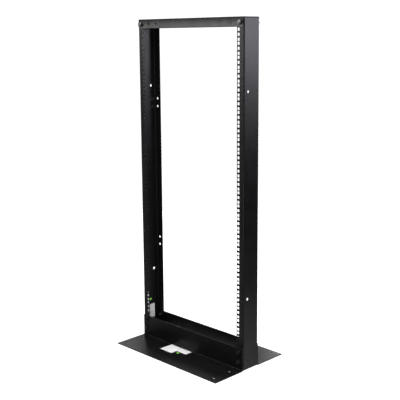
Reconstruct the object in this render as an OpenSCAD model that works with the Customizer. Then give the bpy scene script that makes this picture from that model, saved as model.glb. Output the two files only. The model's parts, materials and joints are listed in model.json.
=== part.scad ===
// Two post open frame rack, 19 inch, free standing.
// Two bent steel channels stand between a pair of top angles and a pair
// of base angles. Units: millimetres. X runs across the width, Y from
// front (-) to rear (+), Z up from the floor. The origin is on the floor,
// midway between the posts and midway between the two floor plates.

/* [Overall] */
// Width over the outer faces of the two posts
rack_w = 514; // [508:1:540]
// Height from the floor to the top of the top angles
rack_h = 1197; // [1197:1:2200]
// Depth over the front and rear floor plates
base_d = 348; // [310:1:600]

/* [Posts] */
// Depth of the post channel, front face to rear face
post_d = 75; // [72:1:120]
// Width of the post channel's flanges
post_w = 31; // [31:1:34]
// Sheet thickness of the post channel
post_t = 2; // [1.5:0.1:2.5]
// Outer radius of the post channel's bends
post_bend = 4; // [3:0.5:5]
// Gap between the floor and the lower end of the posts
post_gap = 3; // [3:0.5:8]

/* [Rail holes] */
// Number of rack units
units = 24; // [2:1:24]
// Side of the square rail holes
square_hole = 9.5; // [9:0.1:9.8]
// Distance between the hole columns of the two posts
rail_pitch = 465.1; // [465:0.1:465.2]
// Drop from the top of the rack to the top of the uppermost unit
top_unit_drop = 34; // [34:0.5:45]

/* [Top angles] */
// Sheet thickness of the top angles
top_t = 2; // [1.2:0.1:2.5]
// Height of the vertical leg and depth of the flat leg
top_leg = 31.5; // [29:0.5:34]
// How far each end of a top angle stops short of the post's outer face
top_inset = 3.5; // [1:0.5:6]

/* [Base angles] */
// Sheet thickness of the base angles
base_t = 2.5; // [2:0.1:4]
// Height of the base angles' upright flange
base_leg = 81; // [76:0.5:84]
// Inner radius of the base angles' bend
base_bend = 2.5; // [1:0.5:4]
// How far each end of a base angle stops short of the post's outer face
base_inset = 1; // [0:0.5:5]

/* [Holes] */
// Diameter of the larger side holes in the post webs
side_hole = 9.5; // [8:0.1:11]
// Diameter of the smaller side holes in the post webs
small_hole = 6.5; // [4:0.1:7]
// Diameter of the paired holes in the rear flanges
rear_hole = 9; // [7:0.1:10]
// Diameter of the small holes in the top angles
angle_hole = 6.5; // [4:0.1:8]
// Diameter of the floor anchor holes
anchor_hole = 10; // [8:0.1:13]

/* [Fasteners] */
// Thread diameter of the assembly bolts
bolt_d = 8; // [6:1:8]
// Width across flats of heads and nuts
hex_af = 13; // [10:1:13]
// Length of the assembly bolts under the head
bolt_len = 20; // [18:1:25]

/* [Labels] */
// Thickness of the blank adhesive labels
label_t = 0.2; // [0.1:0.1:0.4]

/* [Hidden] */

eps = 1;                      // overshoot of cuts
half_w = rack_w / 2;
half_d = post_d / 2;
unit = 44.45;                 // one rack unit
unit_holes = [6.35, 22.225, 38.1];   // hole centres below a unit's top
top_bend = 1.5;               // inner radius of the top angles' bend
post_top = rack_h - top_t - top_bend;
unit_top = rack_h - top_unit_drop;

// Side holes: heights, and distances from the web's middle
side_z = [255, rack_h - 239.5];
side_y = 16.2;
small_y = 24;
earth_z = 33.5;
earth_y = 12;
// Paired holes in the rear flanges
pair_x = half_w - 15.5;
pair_half = 14.4;
pair_z = [364.5, rack_h - 302];
// Small holes in the top angles
angle_x = [160.9, 199.0];
angle_z = rack_h - 16.7;
// Floor anchor holes
anchor_x = half_w - 32;
anchor_y = [base_d / 2 - 101, base_d / 2 - 24];
// Assembly bolts
top_bolt_x = half_w - 15.5;
top_bolt_z = rack_h - 18.2;
base_bolt_x = half_w - 17;
base_bolt_z = [31.7, 66.1];
clear_d = bolt_d + 1;
washer_d = 2 * bolt_d;
washer_t = 1.6;
lock_d = 14.8;
lock_t = 2;
head_h = 5.3;
nut_h = 6.5;

black = [0.11, 0.11, 0.115];
oxide = [0.07, 0.07, 0.075];
zinc = [0.72, 0.73, 0.74];
paper = [0.93, 0.93, 0.92];
green = [0.35, 0.85, 0.15];

// ---- sheet metal ----------------------------------------------------

// Quarter of a ring, in the +X +Y quadrant
module quarter_ring(ro, ri)
    intersection() {
        difference() { circle(r = ro, $fn = 64); circle(r = ri, $fn = 64); }
        square([ro, ro]);
    }

// Section of a post: web on the +X side, open towards -X
module channel_section() {
    ro = post_bend;
    translate([post_w - post_t, ro - half_d]) square([post_t, post_d - 2 * ro]);
    for (s = [-1, 1])
        translate([0, s > 0 ? half_d - post_t : -half_d]) square([post_w - ro, post_t]);
    translate([post_w - ro, half_d - ro]) quarter_ring(ro, ro - post_t);
    translate([post_w - ro, ro - half_d]) mirror([0, 1]) quarter_ring(ro, ro - post_t);
}

// Section of an angle: corner at the origin, legs along +X and +Y
module angle_section(leg_x, leg_y, t, ri) {
    ro = ri + t;
    translate([ro, 0]) square([leg_x - ro, t]);
    translate([0, ro]) square([t, leg_y - ro]);
    translate([ro, ro]) rotate(180) quarter_ring(ro, ri);
}

// Places its children on the right (+1) or left (-1) side
module side(s) mirror([s < 0 ? 1 : 0, 0, 0]) children();
// Places its children at the front (-1) or rear (+1)
module face(s) mirror([0, s > 0 ? 1 : 0, 0]) children();

// Hole through a sheet that faces Y
module hole_y(x, y, z, d)
    translate([x, y, z]) rotate([90, 0, 0]) cylinder(h = 12, d = d, center = true, $fn = 48);

// Hole through a sheet that faces X
module hole_x(x, y, z, d)
    translate([x, y, z]) rotate([0, 90, 0]) cylinder(h = 12, d = d, center = true, $fn = 48);

// One post, right-hand side; turn says which way the side holes run
module post(turn) {
    difference() {
        translate([half_w - post_w, 0, post_gap])
            linear_extrude(height = post_top - post_gap) channel_section();
        // square rail holes in the front flange
        for (u = [0 : units - 1]) for (h = unit_holes)
            translate([rail_pitch / 2 - square_hole / 2, -half_d - eps,
                       unit_top - u * unit - h - square_hole / 2])
                cube([square_hole, post_t + 2 * eps, square_hole]);
        // side holes in the web
        for (z = side_z) {
            hole_x(half_w, -turn * side_y, z, side_hole);
            hole_x(half_w, turn * small_y, z, small_hole);
        }
        hole_x(half_w, -turn * earth_y, earth_z, small_hole);
        // paired holes in the rear flange
        for (z = pair_z) for (k = [-1, 1])
            hole_y(pair_x, half_d, z + k * pair_half, rear_hole);
        // assembly bolt holes in both flanges
        for (s = [-1, 1]) {
            hole_y(top_bolt_x, s * half_d, top_bolt_z, clear_d);
            for (z = base_bolt_z) hole_y(base_bolt_x, s * half_d, z, clear_d);
        }
    }
}

module left_post() color(black) side(-1) post(-1);
module right_post() color(black) side(1) post(1);

// Front top angle, corner outwards and up
module top_angle() {
    len = rack_w - 2 * top_inset;
    difference() {
        translate([-len / 2, -half_d - top_t, rack_h])
            rotate([90, 0, 90]) mirror([0, 1]) linear_extrude(height = len)
                angle_section(top_leg, top_leg, top_t, top_bend);
        for (s = [-1, 1]) {
            for (x = angle_x) hole_y(s * x, -half_d, angle_z, angle_hole);
            hole_y(s * top_bolt_x, -half_d, top_bolt_z, clear_d);
        }
    }
}
module top_angle_front() color(black) face(-1) top_angle();
module top_angle_rear() color(black) face(1) top_angle();

// Front base angle: upright flange against the posts, plate outwards
module base_angle() {
    len = rack_w - 2 * base_inset;
    reach = base_d / 2 - half_d;
    difference() {
        translate([-len / 2, -half_d, 0])
            rotate([90, 0, 90]) mirror([1, 0]) linear_extrude(height = len)
                angle_section(reach, base_leg, base_t, base_bend);
        for (s = [-1, 1]) {
            for (z = base_bolt_z) hole_y(s * base_bolt_x, -half_d, z, clear_d);
            for (y = anchor_y)
                translate([s * anchor_x, -y, -eps])
                    cylinder(h = base_t + 2 * eps, d = anchor_hole, $fn = 48);
        }
    }
}
module base_angle_front() color(black) face(-1) base_angle();
module base_angle_rear() color(black) face(1) base_angle();

// ---- fasteners ------------------------------------------------------
// Each is drawn along +Y, from the outside of the sheet inwards, with the
// sheet's outer face at y = 0.

module hex_prism(h, af)
    intersection() {
        cylinder(h = h, d = af / cos(30), $fn = 6);
        cylinder(h = h, r1 = 0.475 * af + h / tan(30), r2 = 0.475 * af, $fn = 48);
    }

module washer(d, t)
    rotate([90, 0, 0]) difference() {
        cylinder(h = t, d = d, $fn = 48);
        translate([0, 0, -eps]) cylinder(h = t + 2 * eps, d = bolt_d + 0.4, $fn = 48);
    }

// Split spring washer
module split_washer()
    rotate([90, 0, 0]) difference() {
        cylinder(h = lock_t, d = lock_d, $fn = 48);
        translate([0, 0, -eps]) cylinder(h = lock_t + 2 * eps, d = bolt_d + 0.4, $fn = 48);
        rotate(205) translate([0, -0.6, -eps]) cube([lock_d, 1.2, lock_t + 2 * eps]);
    }

// Bolt with its head's underside on the spring washer
module bolt(turn)
    translate([0, -washer_t - lock_t, 0]) rotate([90, 0, 0]) {
        rotate(turn) hex_prism(head_h, hex_af);
        translate([0, 0, -bolt_len]) cylinder(h = bolt_len, d = bolt_d, $fn = 48);
    }

module nut(turn)
    rotate([-90, 0, 0]) difference() {
        rotate(turn) hex_prism(nut_h, hex_af);
        translate([0, 0, -eps]) cylinder(h = nut_h + 2 * eps, d = bolt_d + 0.2, $fn = 48);
    }

// Places children at a top bolt (outer face of the angle)
module at_top(sx, sy, deep = 0)
    side(sx) face(sy) translate([top_bolt_x, -half_d - top_t + deep, top_bolt_z]) children();
// Places children at the two base bolts of a corner
module at_base(sx, sy, deep = 0)
    for (z = base_bolt_z)
        side(sx) face(sy) translate([base_bolt_x, -half_d - base_t + deep, z]) children();

module top_bolt_front_left() color(zinc) at_top(-1, -1) bolt(8);
module top_bolt_front_right() color(zinc) at_top(1, -1) bolt(21);
module top_bolt_rear_left() color(zinc) at_top(-1, 1) bolt(40);
module top_bolt_rear_right() color(zinc) at_top(1, 1) bolt(3);
module top_washers() color(oxide)
    for (sx = [-1, 1]) for (sy = [-1, 1]) at_top(sx, sy) washer(washer_d, washer_t);
module top_lock_washers() color(oxide)
    for (sx = [-1, 1]) for (sy = [-1, 1]) at_top(sx, sy, -washer_t) split_washer();
module top_nuts() color(zinc)
    for (sx = [-1, 1]) for (sy = [-1, 1]) at_top(sx, sy, top_t + post_t) nut(12);

module base_bolts_front_left() color(oxide) at_base(-1, -1) bolt(15);
module base_bolts_front_right() color(oxide) at_base(1, -1) bolt(33);
module base_bolts_rear_left() color(oxide) at_base(-1, 1) bolt(5);
module base_bolts_rear_right() color(oxide) at_base(1, 1) bolt(26);
module base_washers_front() color(oxide) for (sx = [-1, 1]) at_base(sx, -1) washer(washer_d, washer_t);
module base_washers_rear() color(oxide) for (sx = [-1, 1]) at_base(sx, 1) washer(washer_d, washer_t);
module base_lock_washers_front() color(oxide) for (sx = [-1, 1]) at_base(sx, -1, -washer_t) split_washer();
module base_lock_washers_rear() color(oxide) for (sx = [-1, 1]) at_base(sx, 1, -washer_t) split_washer();
module base_nuts_front_left() color(oxide) at_base(-1, -1, base_t + post_t) nut(10);
module base_nuts_front_right() color(oxide) at_base(1, -1, base_t + post_t) nut(24);
module base_nuts_rear_left() color(oxide) at_base(-1, 1, base_t + post_t) nut(2);
module base_nuts_rear_right() color(oxide) at_base(1, 1, base_t + post_t) nut(18);

// ---- blank labels ---------------------------------------------------

// L-shaped blank label on the front floor plate, beside the upright flange
module base_label() color(paper)
    translate([0, 0, base_t]) linear_extrude(height = label_t) union() {
        translate([-98, -100]) square([60, 57]);
        translate([-38, -73.5]) square([48, 30.5]);
    }
module base_label_dot() color(green)
    translate([-21, -84, base_t]) cylinder(h = label_t, d = 10, $fn = 48);

// The same kind of label on the inner face of the left post's web
module post_label() color(paper)
    translate([-half_w + post_t, 0, 0]) rotate([90, 0, 90]) linear_extrude(height = label_t) union() {
        translate([-33, 60]) square([48, 54]);
        translate([-33, 114]) square([22, 53]);
    }
module post_label_dot() color(green)
    translate([-half_w + post_t, -5, 134.5]) rotate([0, 90, 0]) cylinder(h = label_t, d = 10, $fn = 48);

left_post();
right_post();
top_angle_front();
top_angle_rear();
base_angle_front();
base_angle_rear();
top_bolt_front_left();
top_bolt_front_right();
top_bolt_rear_left();
top_bolt_rear_right();
top_washers();
top_lock_washers();
top_nuts();
base_bolts_front_left();
base_bolts_front_right();
base_bolts_rear_left();
base_bolts_rear_right();
base_washers_front();
base_washers_rear();
base_lock_washers_front();
base_lock_washers_rear();
base_nuts_front_left();
base_nuts_front_right();
base_nuts_rear_left();
base_nuts_rear_right();
base_label();
base_label_dot();
post_label();
post_label_dot();
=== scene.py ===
import json
import math

import bmesh
import bpy
from mathutils import Matrix, Vector


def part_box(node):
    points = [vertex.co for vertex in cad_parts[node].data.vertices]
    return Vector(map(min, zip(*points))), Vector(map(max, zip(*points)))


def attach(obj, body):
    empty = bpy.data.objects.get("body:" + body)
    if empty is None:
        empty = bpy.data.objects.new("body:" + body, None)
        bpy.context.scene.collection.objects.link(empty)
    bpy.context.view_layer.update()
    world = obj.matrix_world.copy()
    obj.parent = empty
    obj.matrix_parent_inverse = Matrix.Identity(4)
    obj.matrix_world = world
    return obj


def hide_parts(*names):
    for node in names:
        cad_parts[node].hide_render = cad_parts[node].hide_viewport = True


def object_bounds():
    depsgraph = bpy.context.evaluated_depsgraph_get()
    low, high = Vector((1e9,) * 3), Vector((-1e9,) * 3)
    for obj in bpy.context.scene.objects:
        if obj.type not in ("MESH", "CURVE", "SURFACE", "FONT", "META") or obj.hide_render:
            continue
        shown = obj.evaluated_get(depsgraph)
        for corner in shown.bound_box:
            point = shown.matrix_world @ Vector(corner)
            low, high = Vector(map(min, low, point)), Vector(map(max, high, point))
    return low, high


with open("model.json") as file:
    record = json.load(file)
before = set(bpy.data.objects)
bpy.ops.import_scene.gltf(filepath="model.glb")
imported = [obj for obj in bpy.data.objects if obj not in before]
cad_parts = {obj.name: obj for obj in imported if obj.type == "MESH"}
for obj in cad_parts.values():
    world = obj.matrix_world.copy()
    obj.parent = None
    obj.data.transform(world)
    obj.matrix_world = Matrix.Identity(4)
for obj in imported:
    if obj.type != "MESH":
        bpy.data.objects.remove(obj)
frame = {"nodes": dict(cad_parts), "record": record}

scene = bpy.context.scene
record = frame["record"]
nodes = frame["nodes"]
cad_lo, cad_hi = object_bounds()
MM = 0.001


# ---------------------------------------------------------------- camera
def make_camera():
    data = bpy.data.cameras.new("camera")
    data.sensor_fit = "HORIZONTAL"
    data.sensor_width = 36.0
    data.lens = 71.9636
    data.shift_x = 0.0
    data.shift_y = -0.04
    data.clip_start, data.clip_end = 0.05, 80.0
    cam = bpy.data.objects.new("camera", data)
    scene.collection.objects.link(cam)
    right = Vector((0.70647929, 0.70769936, -0.00697376))
    up = Vector((-0.12244459, 0.13192669, 0.98366797))
    ahead = Vector((-0.69706122, 0.69408715, -0.17985743))
    m = Matrix.Identity(4)
    for i in range(3):
        m[i][0], m[i][1], m[i][2] = right[i], up[i], -ahead[i]
    m[0][3], m[1][3], m[2][3] = 1.98954, -1.96550, 1.13049
    cam.matrix_world = m
    scene.camera = cam


make_camera()
scene.view_settings.view_transform = "Standard"
scene.view_settings.look = "None"
scene.view_settings.exposure = 0.0
scene.view_settings.gamma = 1.0


# ---------------------------------------------------------------- materials
class Nodes:
    """A small helper to build a node material."""

    def __init__(self, name):
        self.mat = bpy.data.materials.new(name)
        self.mat.use_nodes = True
        self.t = self.mat.node_tree
        self.t.nodes.clear()
        self.out = self.add("ShaderNodeOutputMaterial")
        self.bsdf = self.add("ShaderNodeBsdfPrincipled")
        self.link(self.bsdf, "BSDF", self.out, "Surface")
        self.co = self.add("ShaderNodeTexCoord")

    def add(self, kind, **values):
        n = self.t.nodes.new(kind)
        for k, v in values.items():
            setattr(n, k, v)
        return n

    def link(self, a, out, b, inp):
        self.t.links.new(a.outputs[out], b.inputs[inp])

    def noise(self, scale, detail=2.0, rough=0.5, stretch=None, distort=0.0):
        n = self.add("ShaderNodeTexNoise")
        n.inputs["Scale"].default_value = scale
        n.inputs["Detail"].default_value = detail
        n.inputs["Roughness"].default_value = rough
        n.inputs["Distortion"].default_value = distort
        if stretch:
            m = self.add("ShaderNodeMapping")
            m.inputs["Scale"].default_value = stretch
            self.link(self.co, "Object", m, "Vector")
            self.link(m, "Vector", n, "Vector")
        else:
            self.link(self.co, "Object", n, "Vector")
        return n

    def spread(self, source, out, lo, hi, to_lo=0.0, to_hi=1.0, smooth=True):
        """source's value from lo..hi to to_lo..to_hi."""
        r = self.add("ShaderNodeMapRange")
        if smooth:
            r.interpolation_type = "SMOOTHSTEP"
        r.inputs["From Min"].default_value = lo
        r.inputs["From Max"].default_value = hi
        r.inputs["To Min"].default_value = to_lo
        r.inputs["To Max"].default_value = to_hi
        self.link(source, out, r, "Value")
        return r

    def mix(self, factor, a, b):
        """A colour mix; a and b are colours or (node, output) pairs."""
        m = self.add("ShaderNodeMix")
        m.data_type = "RGBA"
        self.link(factor[0], factor[1], m, 0)
        for i, v in ((6, a), (7, b)):
            if isinstance(v[0], (int, float)):
                m.inputs[i].default_value = (*v, 1.0)
            else:
                self.t.links.new(v[0].outputs[v[1]], m.inputs[i])
        return m

    def math(self, op, a, b, clamp=False):
        m = self.add("ShaderNodeMath")
        m.operation = op
        m.use_clamp = clamp
        for i, v in ((0, a), (1, b)):
            if isinstance(v, (int, float)):
                m.inputs[i].default_value = v
            else:
                self.t.links.new(v[0].outputs[v[1]], m.inputs[i])
        return m

    def edges(self, radius, lo, hi):
        """1 on edges and 0 on flat faces, from how far a rounded normal leans away from the face's own."""
        bev = self.add("ShaderNodeBevel")
        bev.samples = 6
        bev.inputs["Radius"].default_value = radius
        geo = self.add("ShaderNodeNewGeometry")
        dot = self.add("ShaderNodeVectorMath")
        dot.operation = "DOT_PRODUCT"
        self.link(bev, "Normal", dot, 0)
        self.link(geo, "Normal", dot, 1)
        return self.spread(dot, "Value", lo, hi, 1.0, 0.0)

    def bump(self, height, strength, distance, under=None):
        b = self.add("ShaderNodeBump")
        b.inputs["Strength"].default_value = strength
        b.inputs["Distance"].default_value = distance
        self.link(height[0], height[1], b, "Height")
        if under is not None:
            self.link(under[0], under[1], b, "Normal")
        return b


def powder_coat(name="black_powder_coat", painted_sheen_by_height=None):
    """The last argument is a list of (height in metres, specular level) pairs: a painted sheen, the specular level
    stepping with height so that a part's faces get lighter or darker the way the lights fall on them.
    """
    n = Nodes(name)
    b = n.bsdf
    b.inputs["Specular IOR Level"].default_value = 0.3
    if painted_sheen_by_height:
        # painted sheen and shade: the specular level follows height, standing in for how the lights fall on the part
        at = n.add("ShaderNodeSeparateXYZ")
        n.link(n.co, "Object", at, "Vector")
        level = None
        for (z0, g0), (z1, g1) in zip(painted_sheen_by_height, painted_sheen_by_height[1:]):
            step = n.spread(at, "Z", z0, z1, 0.0 if level else g0, g1 - g0 if level else g1, smooth=False)
            level = n.math("ADD", (level, "Value" if level.bl_idname == "ShaderNodeMath" else "Result"), (step, "Result")) if level else step
        n.link(level, "Value" if level.bl_idname == "ShaderNodeMath" else "Result", b, "Specular IOR Level")
    b.inputs["IOR"].default_value = 1.5
    grain = n.noise(1300.0, 3.0, 0.6)           # the fine orange peel of the coat
    cells = n.add("ShaderNodeTexVoronoi")       # the small raised specks of a fine-texture powder
    cells.feature = "SMOOTH_F1"
    cells.inputs["Scale"].default_value = 850.0
    n.link(n.co, "Object", cells, "Vector")
    cloud = n.noise(22.0, 4.0, 0.55)            # slow changes in gloss
    rubs = n.noise(60.0, 5.0, 0.6, stretch=(1.0, 1.0, 0.12))
    edge = n.edges(0.0011, 0.80, 0.985)
    wear = n.noise(160.0, 4.0, 0.65)
    worn = n.math("MULTIPLY", (edge, "Result"), (n.spread(wear, "Fac", 0.42, 0.66), "Result"), clamp=True)
    dust = n.spread(n.noise(420.0, 2.0, 0.5), "Fac", 0.66, 0.80)
    base = n.mix((n.spread(cloud, "Fac", 0.30, 0.72), "Result"), (0.0030, 0.0030, 0.0034), (0.0046, 0.0046, 0.0051))
    base2 = n.mix((n.math("MULTIPLY", (dust, "Result"), 0.35), "Value"), (base, 2), (0.022, 0.022, 0.022))
    base3 = n.mix((n.math("MULTIPLY", (worn, "Value"), 0.5), "Value"), (base2, 2), (0.06, 0.06, 0.062))
    n.link(base3, 2, b, "Base Color")
    r1 = n.spread(cloud, "Fac", 0.30, 0.72, 0.28, 0.32)
    r2 = n.spread(rubs, "Fac", 0.45, 0.75, 0.0, 0.05)
    r3 = n.math("ADD", (r1, "Result"), (r2, "Result"))
    r4 = n.math("SUBTRACT", (r3, "Value"), (n.math("MULTIPLY", (edge, "Result"), 0.06), "Value"))
    n.link(r4, "Value", b, "Roughness")
    h = n.math("ADD", (grain, "Fac"), (n.math("MULTIPLY", (cells, "Distance"), 0.6), "Value"))
    rounded = n.add("ShaderNodeBevel")
    rounded.samples = 4
    rounded.inputs["Radius"].default_value = 0.0005
    bump = n.bump((h, "Value"), 0.12, 0.00008, (rounded, "Normal"))
    n.link(bump, "Normal", b, "Normal")
    return n.mat


def bright_zinc():
    n = Nodes("bright_zinc")
    b = n.bsdf
    b.inputs["Metallic"].default_value = 1.0
    cloud = n.noise(300.0, 3.0, 0.6)
    fine = n.noise(2600.0, 2.0, 0.5)
    marks = n.noise(900.0, 4.0, 0.6, stretch=(1.0, 0.15, 1.0))
    edge = n.edges(0.0004, 0.85, 0.99)
    c = n.mix((n.spread(cloud, "Fac", 0.35, 0.68), "Result"), (0.15, 0.155, 0.165), (0.22, 0.225, 0.235))
    c2 = n.mix((n.math("MULTIPLY", (edge, "Result"), 0.6), "Value"), (c, 2), (0.34, 0.345, 0.35))
    n.link(c2, 2, b, "Base Color")
    n.link(n.spread(marks, "Fac", 0.35, 0.70, 0.36, 0.48), "Result", b, "Roughness")
    n.link(n.bump((fine, "Fac"), 0.15, 0.00004), "Normal", b, "Normal")
    return n.mat


def black_oxide():
    n = Nodes("black_oxide")
    b = n.bsdf
    b.inputs["Metallic"].default_value = 0.35
    cloud = n.noise(420.0, 3.0, 0.6)
    fine = n.noise(2400.0, 2.0, 0.5)
    edge = n.edges(0.0004, 0.82, 0.985)
    c = n.mix((n.spread(cloud, "Fac", 0.35, 0.70), "Result"), (0.010, 0.010, 0.011), (0.022, 0.021, 0.020))
    c2 = n.mix((n.math("MULTIPLY", (edge, "Result"), 0.55), "Value"), (c, 2), (0.12, 0.12, 0.12))
    n.link(c2, 2, b, "Base Color")
    n.link(n.spread(cloud, "Fac", 0.30, 0.72, 0.44, 0.32), "Result", b, "Roughness")
    n.link(n.bump((fine, "Fac"), 0.18, 0.00004), "Normal", b, "Normal")
    return n.mat


def label_paper():
    n = Nodes("label_white")
    b = n.bsdf
    fibre = n.noise(1500.0, 4.0, 0.65)
    cloud = n.noise(45.0, 3.0, 0.5)
    rim = n.edges(0.0009, 0.80, 0.99)
    c = n.mix((n.spread(cloud, "Fac", 0.35, 0.68), "Result"), (0.80, 0.80, 0.79), (0.88, 0.88, 0.875))
    c2 = n.mix((n.math("MULTIPLY", (n.spread(fibre, "Fac", 0.55, 0.75), "Result"), 0.3), "Value"), (c, 2), (0.74, 0.74, 0.72))
    c3 = n.mix((n.math("MULTIPLY", (rim, "Result"), 0.35), "Value"), (c2, 2), (0.62, 0.61, 0.57))
    n.link(c3, 2, b, "Base Color")
    n.link(n.spread(fibre, "Fac", 0.3, 0.7, 0.50, 0.66), "Result", b, "Roughness")
    n.link(n.bump((fibre, "Fac"), 0.2, 0.00005), "Normal", b, "Normal")
    return n.mat


def dot_green():
    n = Nodes("dot_green")
    b = n.bsdf
    ink = n.noise(900.0, 3.0, 0.6)
    c = n.mix((n.spread(ink, "Fac", 0.38, 0.66), "Result"), (0.27, 0.84, 0.09), (0.34, 0.95, 0.12))
    n.link(c, 2, b, "Base Color")
    n.link(n.spread(ink, "Fac", 0.3, 0.7, 0.35, 0.50), "Result", b, "Roughness")
    n.link(n.bump((ink, "Fac"), 0.15, 0.00004), "Normal", b, "Normal")
    return n.mat


MATS = {
    "black_powder_coat": powder_coat(),
    "bright_zinc": bright_zinc(),
    "black_oxide": black_oxide(),
    "label_white": label_paper(),
    "dot_green": dot_green(),
}
# the same coat with a painted sheen stepped by height: the front top angle's face lighter towards its lower edge, the
# base angles lighter or darker by height, and the rear top angle dulled all over as painted shade
top_coat_painted_sheen = powder_coat("black_powder_coat_top_painted_sheen", [(1.1665, 0.66), (1.176, 0.56), (1.184, 0.36), (1.190, 0.19)])
rear_coat_painted_shade = powder_coat("black_powder_coat_rear_painted_shade", [(1.1665, 0.16), (1.1935, 0.12)])
base_coat_painted_sheen = powder_coat("black_powder_coat_base_painted_sheen", [(0.0045, 0.30), (0.009, 0.12), (0.045, 0.17), (0.077, 0.26), (0.080, 0.42)])
slot_of = {s["node"]: s["material_slot"] for s in record["subparts"]}
for name, ob in nodes.items():
    m = MATS[slot_of[name]]
    if name == "top_angle_front":
        m = top_coat_painted_sheen
    elif name == "top_angle_rear":
        m = rear_coat_painted_shade
    elif name.startswith("base_angle"):
        m = base_coat_painted_sheen
    ob.data.materials.clear()
    ob.data.materials.append(m)


# ---------------------------------------------------------------- detailed pieces
def make_piece(name, bm, mats, stands_for, smooth=35.0):
    """A finished mesh object that rides on the only body and stands for its CAD nodes."""
    bmesh.ops.remove_doubles(bm, verts=bm.verts, dist=1e-7)
    bmesh.ops.dissolve_degenerate(bm, edges=bm.edges, dist=1e-8)
    bmesh.ops.recalc_face_normals(bm, faces=bm.faces)
    me = bpy.data.meshes.new(name)
    bm.to_mesh(me)
    bm.free()
    for p in me.polygons:
        p.use_smooth = True
    me.set_sharp_from_angle(angle=math.radians(smooth))
    for m in mats:
        me.materials.append(m)
    ob = bpy.data.objects.new(name, me)
    scene.collection.objects.link(ob)
    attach(ob, "root")
    if stands_for:
        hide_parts(*stands_for)
    return ob


def lathe_rings(bm, rings, place, caps=(True, True)):
    """Joins rings of (t, [(a, b), ...]) into one skin; place turns (a, t, b) into a point. A closed profile has caps False and repeats its first ring last."""
    rows = [[bm.verts.new(place(a, t, b)) for a, b in pts] for t, pts in rings]
    n = len(rows[0])
    for r0, r1 in zip(rows, rows[1:]):
        for i in range(n):
            j = (i + 1) % n
            bm.faces.new((r0[i], r0[j], r1[j], r1[i]))
    if caps[0]:
        bm.faces.new(rows[0])
    if caps[1]:
        bm.faces.new(rows[-1][::-1])
    return rows


def circle(r, n, turn=0.0):
    return [(r * math.cos(turn + 2 * math.pi * i / n), r * math.sin(turn + 2 * math.pi * i / n)) for i in range(n)]


def hex_radius(theta, af):
    s = (theta % (math.pi / 3)) - math.pi / 6
    return af / 2 / math.cos(s)


def hexagon(af, n, turn, cut=None):
    """n points on a hexagon across flats af; cut trims its corners to that radius."""
    pts = []
    for i in range(n):
        th = 2 * math.pi * i / n
        r = hex_radius(th, af)
        if cut is not None:
            r = min(r, cut)
        pts.append((r * math.cos(th + turn), r * math.sin(th + turn)))
    return pts


def placer(cx, cz, side, base):
    """(a, t, b): a and b in the sheet's plane, t outwards from its outer face at y = side * base."""
    return lambda a, t, b: (cx + a, side * (base + t), cz + b)


HEX, HEAD, NUT = 13.0 * MM, 5.3 * MM, 6.5 * MM
WASHER, SPLIT, LENGTH = 1.6 * MM, 2.0 * MM, 20.0 * MM
PITCH = 1.25 * MM
N = 72                                    # points round a hexagon


def corner_rise(r, af, slope=30.0):
    return max(0.0, (r - 0.47 * af)) * math.tan(math.radians(slope))


def add_hex_end(place, bm, t_in, t_out, af, turn, bore=None, both=False, washer_face=True):
    """A forged hexagon with its corners turned down at the outer end, or both ends, and a washer face at the inner one.
    The both argument is not used.
    """
    sign = 1.0 if t_out > t_in else -1.0
    span = abs(t_out - t_in)

    def ring(fn):
        row = []
        for i in range(N):
            th = 2 * math.pi * i / N
            r, t = fn(hex_radius(th, af))
            row.append(bm.verts.new(place(r * math.cos(th + turn), t, r * math.sin(th + turn))))
        return row

    rc = 0.47 * af
    rows = []
    if bore:
        rows.append(ring(lambda R: (bore, t_in + sign * 0.5 * span)))
        rows.append(ring(lambda R: (bore, t_in + sign * 0.6 * MM)))
        rows.append(ring(lambda R: (bore + 0.45 * MM, t_in)))
    else:
        rows.append(ring(lambda R: (0.2 * MM, t_in)))
    if washer_face:
        rows.append(ring(lambda R: (rc - 0.05 * MM, t_in)))
        rows.append(ring(lambda R: (rc + 0.02 * MM, t_in + sign * 0.35 * MM)))
        rows.append(ring(lambda R: (R - 0.12 * MM, t_in + sign * 0.38 * MM)))
        rows.append(ring(lambda R: (R, t_in + sign * 0.50 * MM)))
    else:
        rows.append(ring(lambda R: (rc, t_in)))
        rows.append(ring(lambda R: (R - 0.06 * MM, t_in + sign * (corner_rise(R - 0.06 * MM, af)))))
        rows.append(ring(lambda R: (R, t_in + sign * (corner_rise(R, af) + 0.06 * MM))))
    rows.append(ring(lambda R: (R, t_in + sign * 0.5 * span)))
    rows.append(ring(lambda R: (R, t_out - sign * (corner_rise(R, af) + 0.10 * MM))))
    rows.append(ring(lambda R: (R - 0.08 * MM, t_out - sign * (corner_rise(R - 0.08 * MM, af)))))
    rows.append(ring(lambda R: (rc, t_out)))
    if bore:
        rows.append(ring(lambda R: (bore + 0.45 * MM, t_out)))
        rows.append(ring(lambda R: (bore, t_out - sign * 0.6 * MM)))
        rows.append(rows[0])
    else:
        # a shallow forged dish in the middle of the head
        rows.append(ring(lambda R: (0.62 * rc, t_out)))
        rows.append(ring(lambda R: (0.54 * rc, t_out - sign * 0.16 * MM)))
        rows.append(ring(lambda R: (0.28 * rc, t_out - sign * 0.26 * MM)))
        rows.append(ring(lambda R: (0.02 * rc, t_out - sign * 0.28 * MM)))
    for r0, r1 in zip(rows, rows[1:]):
        for i in range(N):
            j = (i + 1) % N
            bm.faces.new((r0[i], r0[j], r1[j], r1[i]))
    if not bore:
        bm.faces.new(rows[0])
        bm.faces.new(rows[-1][::-1])


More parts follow.
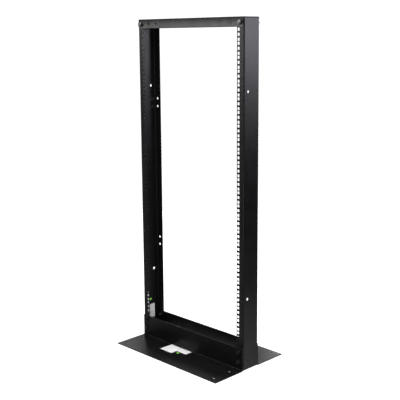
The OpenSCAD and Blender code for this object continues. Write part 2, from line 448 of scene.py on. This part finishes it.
def add_thread(place, bm, t_far, t_near, major, depth, turn, n=32):
    """A right-handed thread from t_far, the bolt's end, to t_near, where it runs out into the shank."""
    steps = int(round((t_near - t_far) / (PITCH / 6)))
    rows = []

    def ring(t, fn):
        row = []
        for i in range(n):
            th = 2 * math.pi * i / n
            r = fn(th)
            row.append(bm.verts.new(place(r * math.cos(th + turn), t, r * math.sin(th + turn))))
        return row

    rows.append(ring(t_far, lambda th: 0.1 * MM))
    rows.append(ring(t_far, lambda th: major - depth - 0.25 * MM))
    for k in range(steps + 1):
        t = t_far + 0.35 * MM + (t_near - t_far - 0.35 * MM) * k / steps
        lead = min(1.0, (t - t_far) / (1.1 * MM))      # the chamfer on the bolt's end
        out = min(1.0, max(0.0, (t_near - t) / PITCH))  # the run-out

        def radius(th, t=t, lead=lead, out=out):
            u = (t / PITCH - th / (2 * math.pi)) % 1.0
            v = abs(2 * u - 1)                          # 0 at a root, 1 at a crest
            v = min(1.0, max(0.0, (v - 0.12) / 0.76))
            r = major - depth * (1 - v) * out
            return min(r, major - (depth + 0.25 * MM) * (1 - lead))

        rows.append(ring(t, radius))
    rows.append(ring(t_near + 0.2 * MM, lambda th: major))
    rows.append(ring(3.7 * MM, lambda th: major))
    rows.append(ring(3.7 * MM, lambda th: 0.1 * MM))
    for r0, r1 in zip(rows, rows[1:]):
        for i in range(n):
            j = (i + 1) % n
            bm.faces.new((r0[i], r0[j], r1[j], r1[i]))
    bm.faces.new(rows[0])
    bm.faces.new(rows[-1][::-1])


def add_bolt(bm, cx, cz, side, base, turn):
    place = placer(cx, cz, side, base)
    head_in = WASHER + SPLIT
    add_hex_end(place, bm, head_in, head_in + HEAD, HEX, turn)
    add_thread(place, bm, head_in - LENGTH, -1.0 * MM, 4.0 * MM, 0.62 * MM, turn)


def add_nut(bm, cx, cz, side, outer, turn):
    """outer is the nut's face against the sheet, as a distance from the middle plane."""
    place = placer(cx, cz, side, 0.0)
    add_hex_end(place, bm, outer, outer - NUT, HEX, turn, bore=3.95 * MM, washer_face=False)


def add_washer(bm, cx, cz, side, base, n=56):
    place = placer(cx, cz, side, base)
    ri, ro, t, e = 4.2 * MM, 8.0 * MM, WASHER, 0.18 * MM
    profile = [(ri + e, 0), (ro - e * 1.6, 0), (ro - e * 0.4, e * 0.7), (ro, e * 1.8), (ro, t - e * 1.2), (ro - e * 0.3, t - e * 0.3),
               (ro - e, t), (ri + e, t), (ri, t - e), (ri, e)]
    rings = [(tt, circle(r, n)) for r, tt in profile]
    rows = lathe_rings(bm, rings, place, caps=(False, False))
    n_ = len(rows[0])
    for i in range(n_):
        j = (i + 1) % n_
        bm.faces.new((rows[-1][i], rows[-1][j], rows[0][j], rows[0][i]))


def add_split_washer(bm, cx, cz, side, base, turn, n=60):
    """A spring washer: one turn of square wire, cut at a slant, one end a hair higher than the other."""
    place = placer(cx, cz, side, base)
    ri, ro, e = 4.2 * MM, 7.4 * MM, 0.14 * MM
    gap = math.radians(9.0)
    rows = []
    for k in range(n + 1):
        f = k / n
        lift = 0.10 * MM * f
        lo = WASHER + lift
        hi = WASHER + SPLIT - 0.10 * MM * (1 - f)
        row = []
        for r, t in ((ri + e, lo), (ro - e, lo), (ro, lo + e), (ro, hi - e), (ro - e, hi), (ri + e, hi), (ri, hi - e), (ri, lo + e)):
            slant = math.radians(7.0) * ((t - WASHER) / SPLIT - 0.5)
            th = turn + gap / 2 + f * (2 * math.pi - gap) + slant
            row.append(bm.verts.new(place(r * math.cos(th), t, r * math.sin(th))))
        rows.append(row)
    for r0, r1 in zip(rows, rows[1:]):
        for i in range(8):
            j = (i + 1) % 8
            bm.faces.new((r0[i], r0[j], r1[j], r1[i]))
    bm.faces.new(rows[0])
    bm.faces.new(rows[-1][::-1])


def ends(lo, hi, inset):
    return (lo + inset, hi - inset)


# the washers' boxes give every bolt's axis
t_lo, t_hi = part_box("top_washers")
top_x = ends(t_lo.x, t_hi.x, 8.0 * MM)
top_z = (t_lo.z + t_hi.z) / 2
top_face = t_hi.y - WASHER
b_lo, b_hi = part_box("base_washers_front")
base_x = ends(b_lo.x, b_hi.x, 8.0 * MM)
base_z = ends(b_lo.z, b_hi.z, 8.0 * MM)
base_face = -b_lo.y - WASHER
nut_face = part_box("base_nuts_rear_left")[1].y
top_nut_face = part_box("top_nuts")[1].y

TURNS = {"front_left": 8, "front_right": 21, "rear_left": 40, "rear_right": 3}
BASE_TURNS = {"front_left": 15, "front_right": 33, "rear_left": 5, "rear_right": 26}
NUT_TURNS = {"front_left": 10, "front_right": 24, "rear_left": 2, "rear_right": 18}
oxide, zinc = MATS["black_oxide"], MATS["bright_zinc"]

bm_w, bm_s, bm_n = bmesh.new(), bmesh.new(), bmesh.new()
for key in ("front_left", "front_right", "rear_left", "rear_right"):
    side = -1 if key.startswith("front") else 1
    x = top_x[0 if key.endswith("left") else 1]
    bm = bmesh.new()
    add_bolt(bm, x, top_z, side, top_face, math.radians(TURNS[key]))
    make_piece("bolt_top_" + key, bm, [zinc], ["top_bolt_" + key])
    add_washer(bm_w, x, top_z, side, top_face)
    add_split_washer(bm_s, x, top_z, side, top_face, math.radians(TURNS[key] * 7 + 40))
    add_nut(bm_n, x, top_z, side, top_nut_face, math.radians(12 + TURNS[key]))
make_piece("washers_top", bm_w, [oxide], ["top_washers"])
make_piece("lock_washers_top", bm_s, [oxide], ["top_lock_washers"])
make_piece("nuts_top", bm_n, [zinc], ["top_nuts"])

for end in ("front", "rear"):
    side = -1 if end == "front" else 1
    bm_w, bm_s = bmesh.new(), bmesh.new()
    for i, lr in enumerate(("left", "right")):
        key = end + "_" + lr
        bm, bm_n = bmesh.new(), bmesh.new()
        for k, z in enumerate(base_z):
            add_bolt(bm, base_x[i], z, side, base_face, math.radians(BASE_TURNS[key] + 23 * k))
            add_nut(bm_n, base_x[i], z, side, nut_face, math.radians(NUT_TURNS[key] + 31 * k))
            add_washer(bm_w, base_x[i], z, side, base_face)
            add_split_washer(bm_s, base_x[i], z, side, base_face, math.radians(37 * k + 70 * i + 20))
        make_piece("bolts_base_" + key, bm, [oxide], ["base_bolts_" + key])
        make_piece("nuts_base_" + key, bm_n, [oxide], ["base_nuts_" + key])
    make_piece("washers_base_" + end, bm_w, [oxide], ["base_washers_" + end])
    make_piece("lock_washers_base_" + end, bm_s, [oxide], ["base_lock_washers_" + end])


def make_label(name, node, flat, cells, curl, thick=0.14 * MM):
    """A blank adhesive label: a thin sheet cut to its CAD node's outline, with one corner just starting to lift.
    flat(u, v, h) places a point; cells is a list of (u0, u1, v0, v1) rectangles that make up the outline."""
    step = 2.5 * MM
    us = sorted({c for r in cells for c in r[:2]})
    vs = sorted({c for r in cells for c in r[2:]})

    def cuts(marks):
        out = []
        for a, b in zip(marks, marks[1:]):
            n = max(1, round((b - a) / step))
            out += [a + (b - a) * i / n for i in range(n)]
        return out + [marks[-1]]

    gu, gv = cuts(us), cuts(vs)
    bm = bmesh.new()
    made = {}

    def vert(i, j, top):
        if (i, j, top) not in made:
            u, v = gu[i], gv[j]
            h = curl(u, v)
            if top:
                h += thick
            made[i, j, top] = bm.verts.new(flat(u, v, h))
        return made[i, j, top]

    def inside(i, j):
        if not (0 <= i < len(gu) - 1 and 0 <= j < len(gv) - 1):
            return False
        cu, cv = (gu[i] + gu[i + 1]) / 2, (gv[j] + gv[j + 1]) / 2
        return any(a < cu < b and c < cv < d for a, b, c, d in cells)

    for i in range(len(gu) - 1):
        for j in range(len(gv) - 1):
            if not inside(i, j):
                continue
            bm.faces.new([vert(*q, True) for q in ((i, j), (i + 1, j), (i + 1, j + 1), (i, j + 1))])
            bm.faces.new([vert(*q, False) for q in ((i, j + 1), (i + 1, j + 1), (i + 1, j), (i, j))])
            for di, dj, p, q in ((-1, 0, (i, j), (i, j + 1)), (1, 0, (i + 1, j), (i + 1, j + 1)),
                                 (0, -1, (i, j), (i + 1, j)), (0, 1, (i, j + 1), (i + 1, j + 1))):
                if not inside(i + di, j + dj):
                    bm.faces.new((vert(*p, True), vert(*q, True), vert(*q, False), vert(*p, False)))
    make_piece(name, bm, [MATS["label_white"]], [node], smooth=50.0)


def fade(d, reach):
    return max(0.0, 1.0 - d / reach) ** 2


# plate label: its CAD box, less the notch towards the post
l_lo, l_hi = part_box("base_label")
px0, px1, px2 = l_lo.x, l_lo.x + 60.0 * MM, l_hi.x
py0, py1, py2 = l_lo.y, l_hi.y - 30.5 * MM, l_hi.y
make_label(
    "label_base", "base_label",
    lambda u, v, h: (u, v, l_lo.z + 0.03 * MM + h),
    [(px0, px1, py0, py1), (px0, px1, py1, py2), (px1, px2, py1, py2)],
    lambda u, v: 0.55 * MM * fade(math.hypot(u - px0, v - py0), 14 * MM) + 0.25 * MM * fade(math.hypot(u - px2, v - py2), 9 * MM),
)
# post label on the inner face of the left web; h goes towards +X
q_lo, q_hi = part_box("post_label")
make_label(
    "label_post", "post_label",
    lambda u, v, h: (q_lo.x + 0.03 * MM + h, u, v),
    [(q_lo.y, q_lo.y + 22.0 * MM, q_lo.z, q_lo.z + 54.0 * MM), (q_lo.y + 22.0 * MM, q_hi.y, q_lo.z, q_lo.z + 54.0 * MM),
     (q_lo.y, q_lo.y + 22.0 * MM, q_lo.z + 54.0 * MM, q_hi.z)],
    lambda u, v: 0.5 * MM * fade(math.hypot(u - q_hi.y, v - q_lo.z), 12 * MM),
)


def make_dot(name, node, axis):
    """A small round sticker, faintly domed, with a soft cut edge."""
    lo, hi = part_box(node)
    c = (lo + hi) / 2
    bm = bmesh.new()
    r = 5.0 * MM
    rings = [(0.0, 0.97), (0.03 * MM, 1.0), (0.10 * MM, 0.995), (0.15 * MM, 0.96), (0.18 * MM, 0.80), (0.20 * MM, 0.50), (0.205 * MM, 0.15)]
    place = (lambda a, t, b: (lo.x + t, c.y + a, c.z + b)) if axis == "x" else (lambda a, t, b: (c.x + a, c.y + b, lo.z + t))
    lathe_rings(bm, [(t, circle(r * k, 40)) for t, k in rings], place)
    make_piece(name, bm, [MATS["dot_green"]], [node], smooth=60.0)


make_dot("dot_base", "base_label_dot", "z")
make_dot("dot_post", "post_label_dot", "x")


# ---------------------------------------------------------------- stage
def make_floor():
    bm = bmesh.new()
    bmesh.ops.create_grid(bm, x_segments=12, y_segments=12, size=7.0)
    me = bpy.data.meshes.new("floor")
    bm.to_mesh(me)
    bm.free()
    ob = bpy.data.objects.new("floor", me)
    scene.collection.objects.link(ob)
    ob.location.z = cad_lo.z - 0.0002
    n = Nodes("floor_white")
    b = n.bsdf
    cloud = n.noise(1.5, 3.0, 0.5)
    c = n.mix((n.spread(cloud, "Fac", 0.35, 0.68), "Result"), (0.20, 0.20, 0.20), (0.22, 0.22, 0.22))
    n.link(c, 2, b, "Base Color")
    b.inputs["Roughness"].default_value = 0.9
    b.inputs["Specular IOR Level"].default_value = 0.0
    b.inputs["Emission Strength"].default_value = 1.0
    # white, but shaded where the floor plates stand on it
    at = n.add("ShaderNodeSeparateXYZ")
    n.link(n.co, "Object", at, "Vector")
    ax = n.math("ABSOLUTE", (at, "X"), 0.0)
    ay = n.math("ABSOLUTE", (at, "Y"), 0.0)
    under = n.math("MULTIPLY", (n.math("LESS_THAN", (ax, "Value"), cad_hi.x - 0.001), "Value"),
                   (n.math("GREATER_THAN", (ay, "Value"), 0.041), "Value"))
    under2 = n.math("MULTIPLY", (under, "Value"), (n.math("LESS_THAN", (ay, "Value"), cad_hi.y - 0.001), "Value"))
    glow = n.mix((under2, "Value"), (1.08, 1.08, 1.08), (0.24, 0.24, 0.24))
    n.link(glow, 2, b, "Emission Color")
    me.materials.append(n.mat)
    # only the camera sees the white floor; its bounce is in the world's lower half
    ob.visible_diffuse = False
    ob.visible_glossy = False
    ob.visible_shadow = False


def make_world():
    w = bpy.data.worlds.new("studio")
    scene.world = w
    w.use_nodes = True
    t = w.node_tree
    t.nodes.clear()
    out = t.nodes.new("ShaderNodeOutputWorld")
    mix = t.nodes.new("ShaderNodeMixShader")
    path = t.nodes.new("ShaderNodeLightPath")
    seen = t.nodes.new("ShaderNodeBackground")
    seen.inputs["Color"].default_value = (1.0, 1.0, 1.0, 1.0)
    seen.inputs["Strength"].default_value = 1.1
    lit = t.nodes.new("ShaderNodeBackground")
    co = t.nodes.new("ShaderNodeTexCoord")
    sep = t.nodes.new("ShaderNodeSeparateXYZ")
    ramp = t.nodes.new("ShaderNodeValToRGB")
    rng = t.nodes.new("ShaderNodeMapRange")
    rng.inputs["From Min"].default_value = -1.0
    rng.inputs["From Max"].default_value = 1.0
    t.links.new(co.outputs["Generated"], sep.inputs[0])
    t.links.new(sep.outputs["Z"], rng.inputs["Value"])
    t.links.new(rng.outputs["Result"], ramp.inputs["Fac"])
    e = ramp.color_ramp.elements
    e[0].position, e[0].color = 0.0, (0.02, 0.02, 0.02, 1)
    e[1].position, e[1].color = 1.0, (0.06, 0.06, 0.06, 1)
    for p, v in ((0.40, 0.03), (0.60, 0.04)):
        x = e.new(p)
        x.color = (v, v, v, 1)
    t.links.new(ramp.outputs["Color"], lit.inputs["Color"])
    lit.inputs["Strength"].default_value = 1.0
    t.links.new(path.outputs["Is Camera Ray"], mix.inputs[0])
    t.links.new(lit.outputs[0], mix.inputs[1])
    t.links.new(seen.outputs[0], mix.inputs[2])
    t.links.new(mix.outputs[0], out.inputs["Surface"])


def soft_light(name, at, to, size, watts, colour=(1.0, 1.0, 1.0)):
    d = bpy.data.lights.new(name, "AREA")
    d.shape = "RECTANGLE"
    d.size, d.size_y = size
    d.energy = watts
    d.color = colour
    ob = bpy.data.objects.new(name, d)
    scene.collection.objects.link(ob)
    ob.location = at
    ob.rotation_euler = (Vector(to) - Vector(at)).to_track_quat("-Z", "Y").to_euler()
    ob.visible_camera = False
    return ob


def around(azimuth, reach, height):
    """A point at that azimuth from +X, towards +Y, in metres."""
    a = math.radians(azimuth)
    return (reach * math.cos(a), reach * math.sin(a), height)


make_floor()
make_world()
COOL, WARM, PLAIN = (0.97, 0.965, 1.07), (1.02, 0.995, 0.985), (1.0, 1.0, 1.0)
# soft panels: azimuth, height, aim height, width, height of the panel, watts, colour
# the right-hand side wall, seen in the posts' webs
for az, z, w, h, p in ((68, 1.3, 0.42, 0.25, 18.8), (36, 1.3, 0.42, 0.25, 3.3), (46, 1.3, 0.42, 0.25, 1.6), (36, 1.05, 0.42, 0.25, 1.4),
                       (46, 1.05, 0.42, 0.25, 1.4), (56, 1.05, 0.42, 0.25, 1.3), (46, 0.75, 0.42, 0.35, 0.5), (56, 0.75, 0.42, 0.35, 0.5),
                       (46, 1.65, 0.42, 0.4, 0.4), (56, -0.3, 0.42, 0.35, 0.2)):
    soft_light("side_%d_%d" % (az, round(z * 100)), around(az, 2.3, z), (0.1, 0, min(max(z, 0.1), 1.1)), (w, h), p, COOL)
# the wall behind the camera's left, seen in the front flanges and the top angle
for az, z, w, h, p in ((244, 1.05, 0.42, 0.25, 7.1), (222, 1.3, 0.42, 0.25, 2.0), (232, 1.3, 0.42, 0.25, 1.7), (212, 1.05, 0.42, 0.25, 0.6),
                       (232, 0.25, 0.42, 0.35, 0.4), (212, 0.25, 0.42, 0.35, 0.3), (212, 0.75, 0.42, 0.35, 0.2), (232, -0.3, 0.42, 0.35, 0.2)):
    soft_light("front_%d_%d" % (az, round(z * 100)), around(az, 2.3, z), (0, 0, min(max(z, 0.1), 1.1)), (w, h), p, WARM)
# the far left, seen in the floor plates
for az, z, w, h, p in ((118, 0.45, 0.42, 0.3, 7.4), (138, 0.1, 0.42, 0.25, 2.4), (150, 0.85, 0.42, 0.35, 1.1), (138, 1.3, 0.42, 0.4, 0.3)):
    soft_light("low_%d_%d" % (az, round(z * 100)), around(az, 2.4, z), (0, 0, 0.1), (w, h), p, WARM)
# overhead banks
soft_light("back_high", (0, 2.2, 1.9), (0, 0, 0.3), (1.3, 0.6), 106.0)
soft_light("top_front_right", (1.2, -1.2, 2.6), (0, 0, 0.9), (1.2, 1.2), 44.3)
soft_light("top_near", (0, 0, 2.2), (0, 0, 0.6), (1.2, 1.2), 32.6)
soft_light("camera_low", (1.7, -1.6, 0.3), (0, 0, 0.3), (1.3, 0.5), 1.8)
# the floor's bounce
soft_light("bounce_right_near", (0.7, 0.35, -0.12), (0.26, 0, 0.08), (0.35, 0.35), 0.2)
soft_light("bounce_right", (0.9, 0.8, -0.3), (0.25, 0, 0.3), (0.9, 0.9), 0.2)
soft_light("bounce_left_front", (-0.9, -0.8, -0.3), (0, 0, 0.3), (0.9, 0.9), 0.6)

# fills for the sides that the main view doesn't mirror
for az, z, w, h, p in ((-45, 0.9, 0.9, 0.6, 5.0), (-45, 0.1, 0.9, 0.6, 5.0), (-45, -0.9, 0.9, 0.6, 6.0), (135, -0.35, 0.9, 0.5, 6.0), (135, -1.0, 0.9, 0.6, 6.0),
                       (225, -1.5, 0.9, 0.6, 4.0), (45, -1.6, 0.9, 0.6, 4.0), (180, 0.9, 0.6, 0.9, 4.0), (180, -0.7, 0.6, 0.9, 4.0), (90, -0.7, 0.6, 0.9, 4.0)):
    soft_light("fill_%d_%d" % (az % 360, round(z * 100)), around(az, 2.6, z), (0, 0, min(max(z, 0.2), 0.9)), (w, h), p)
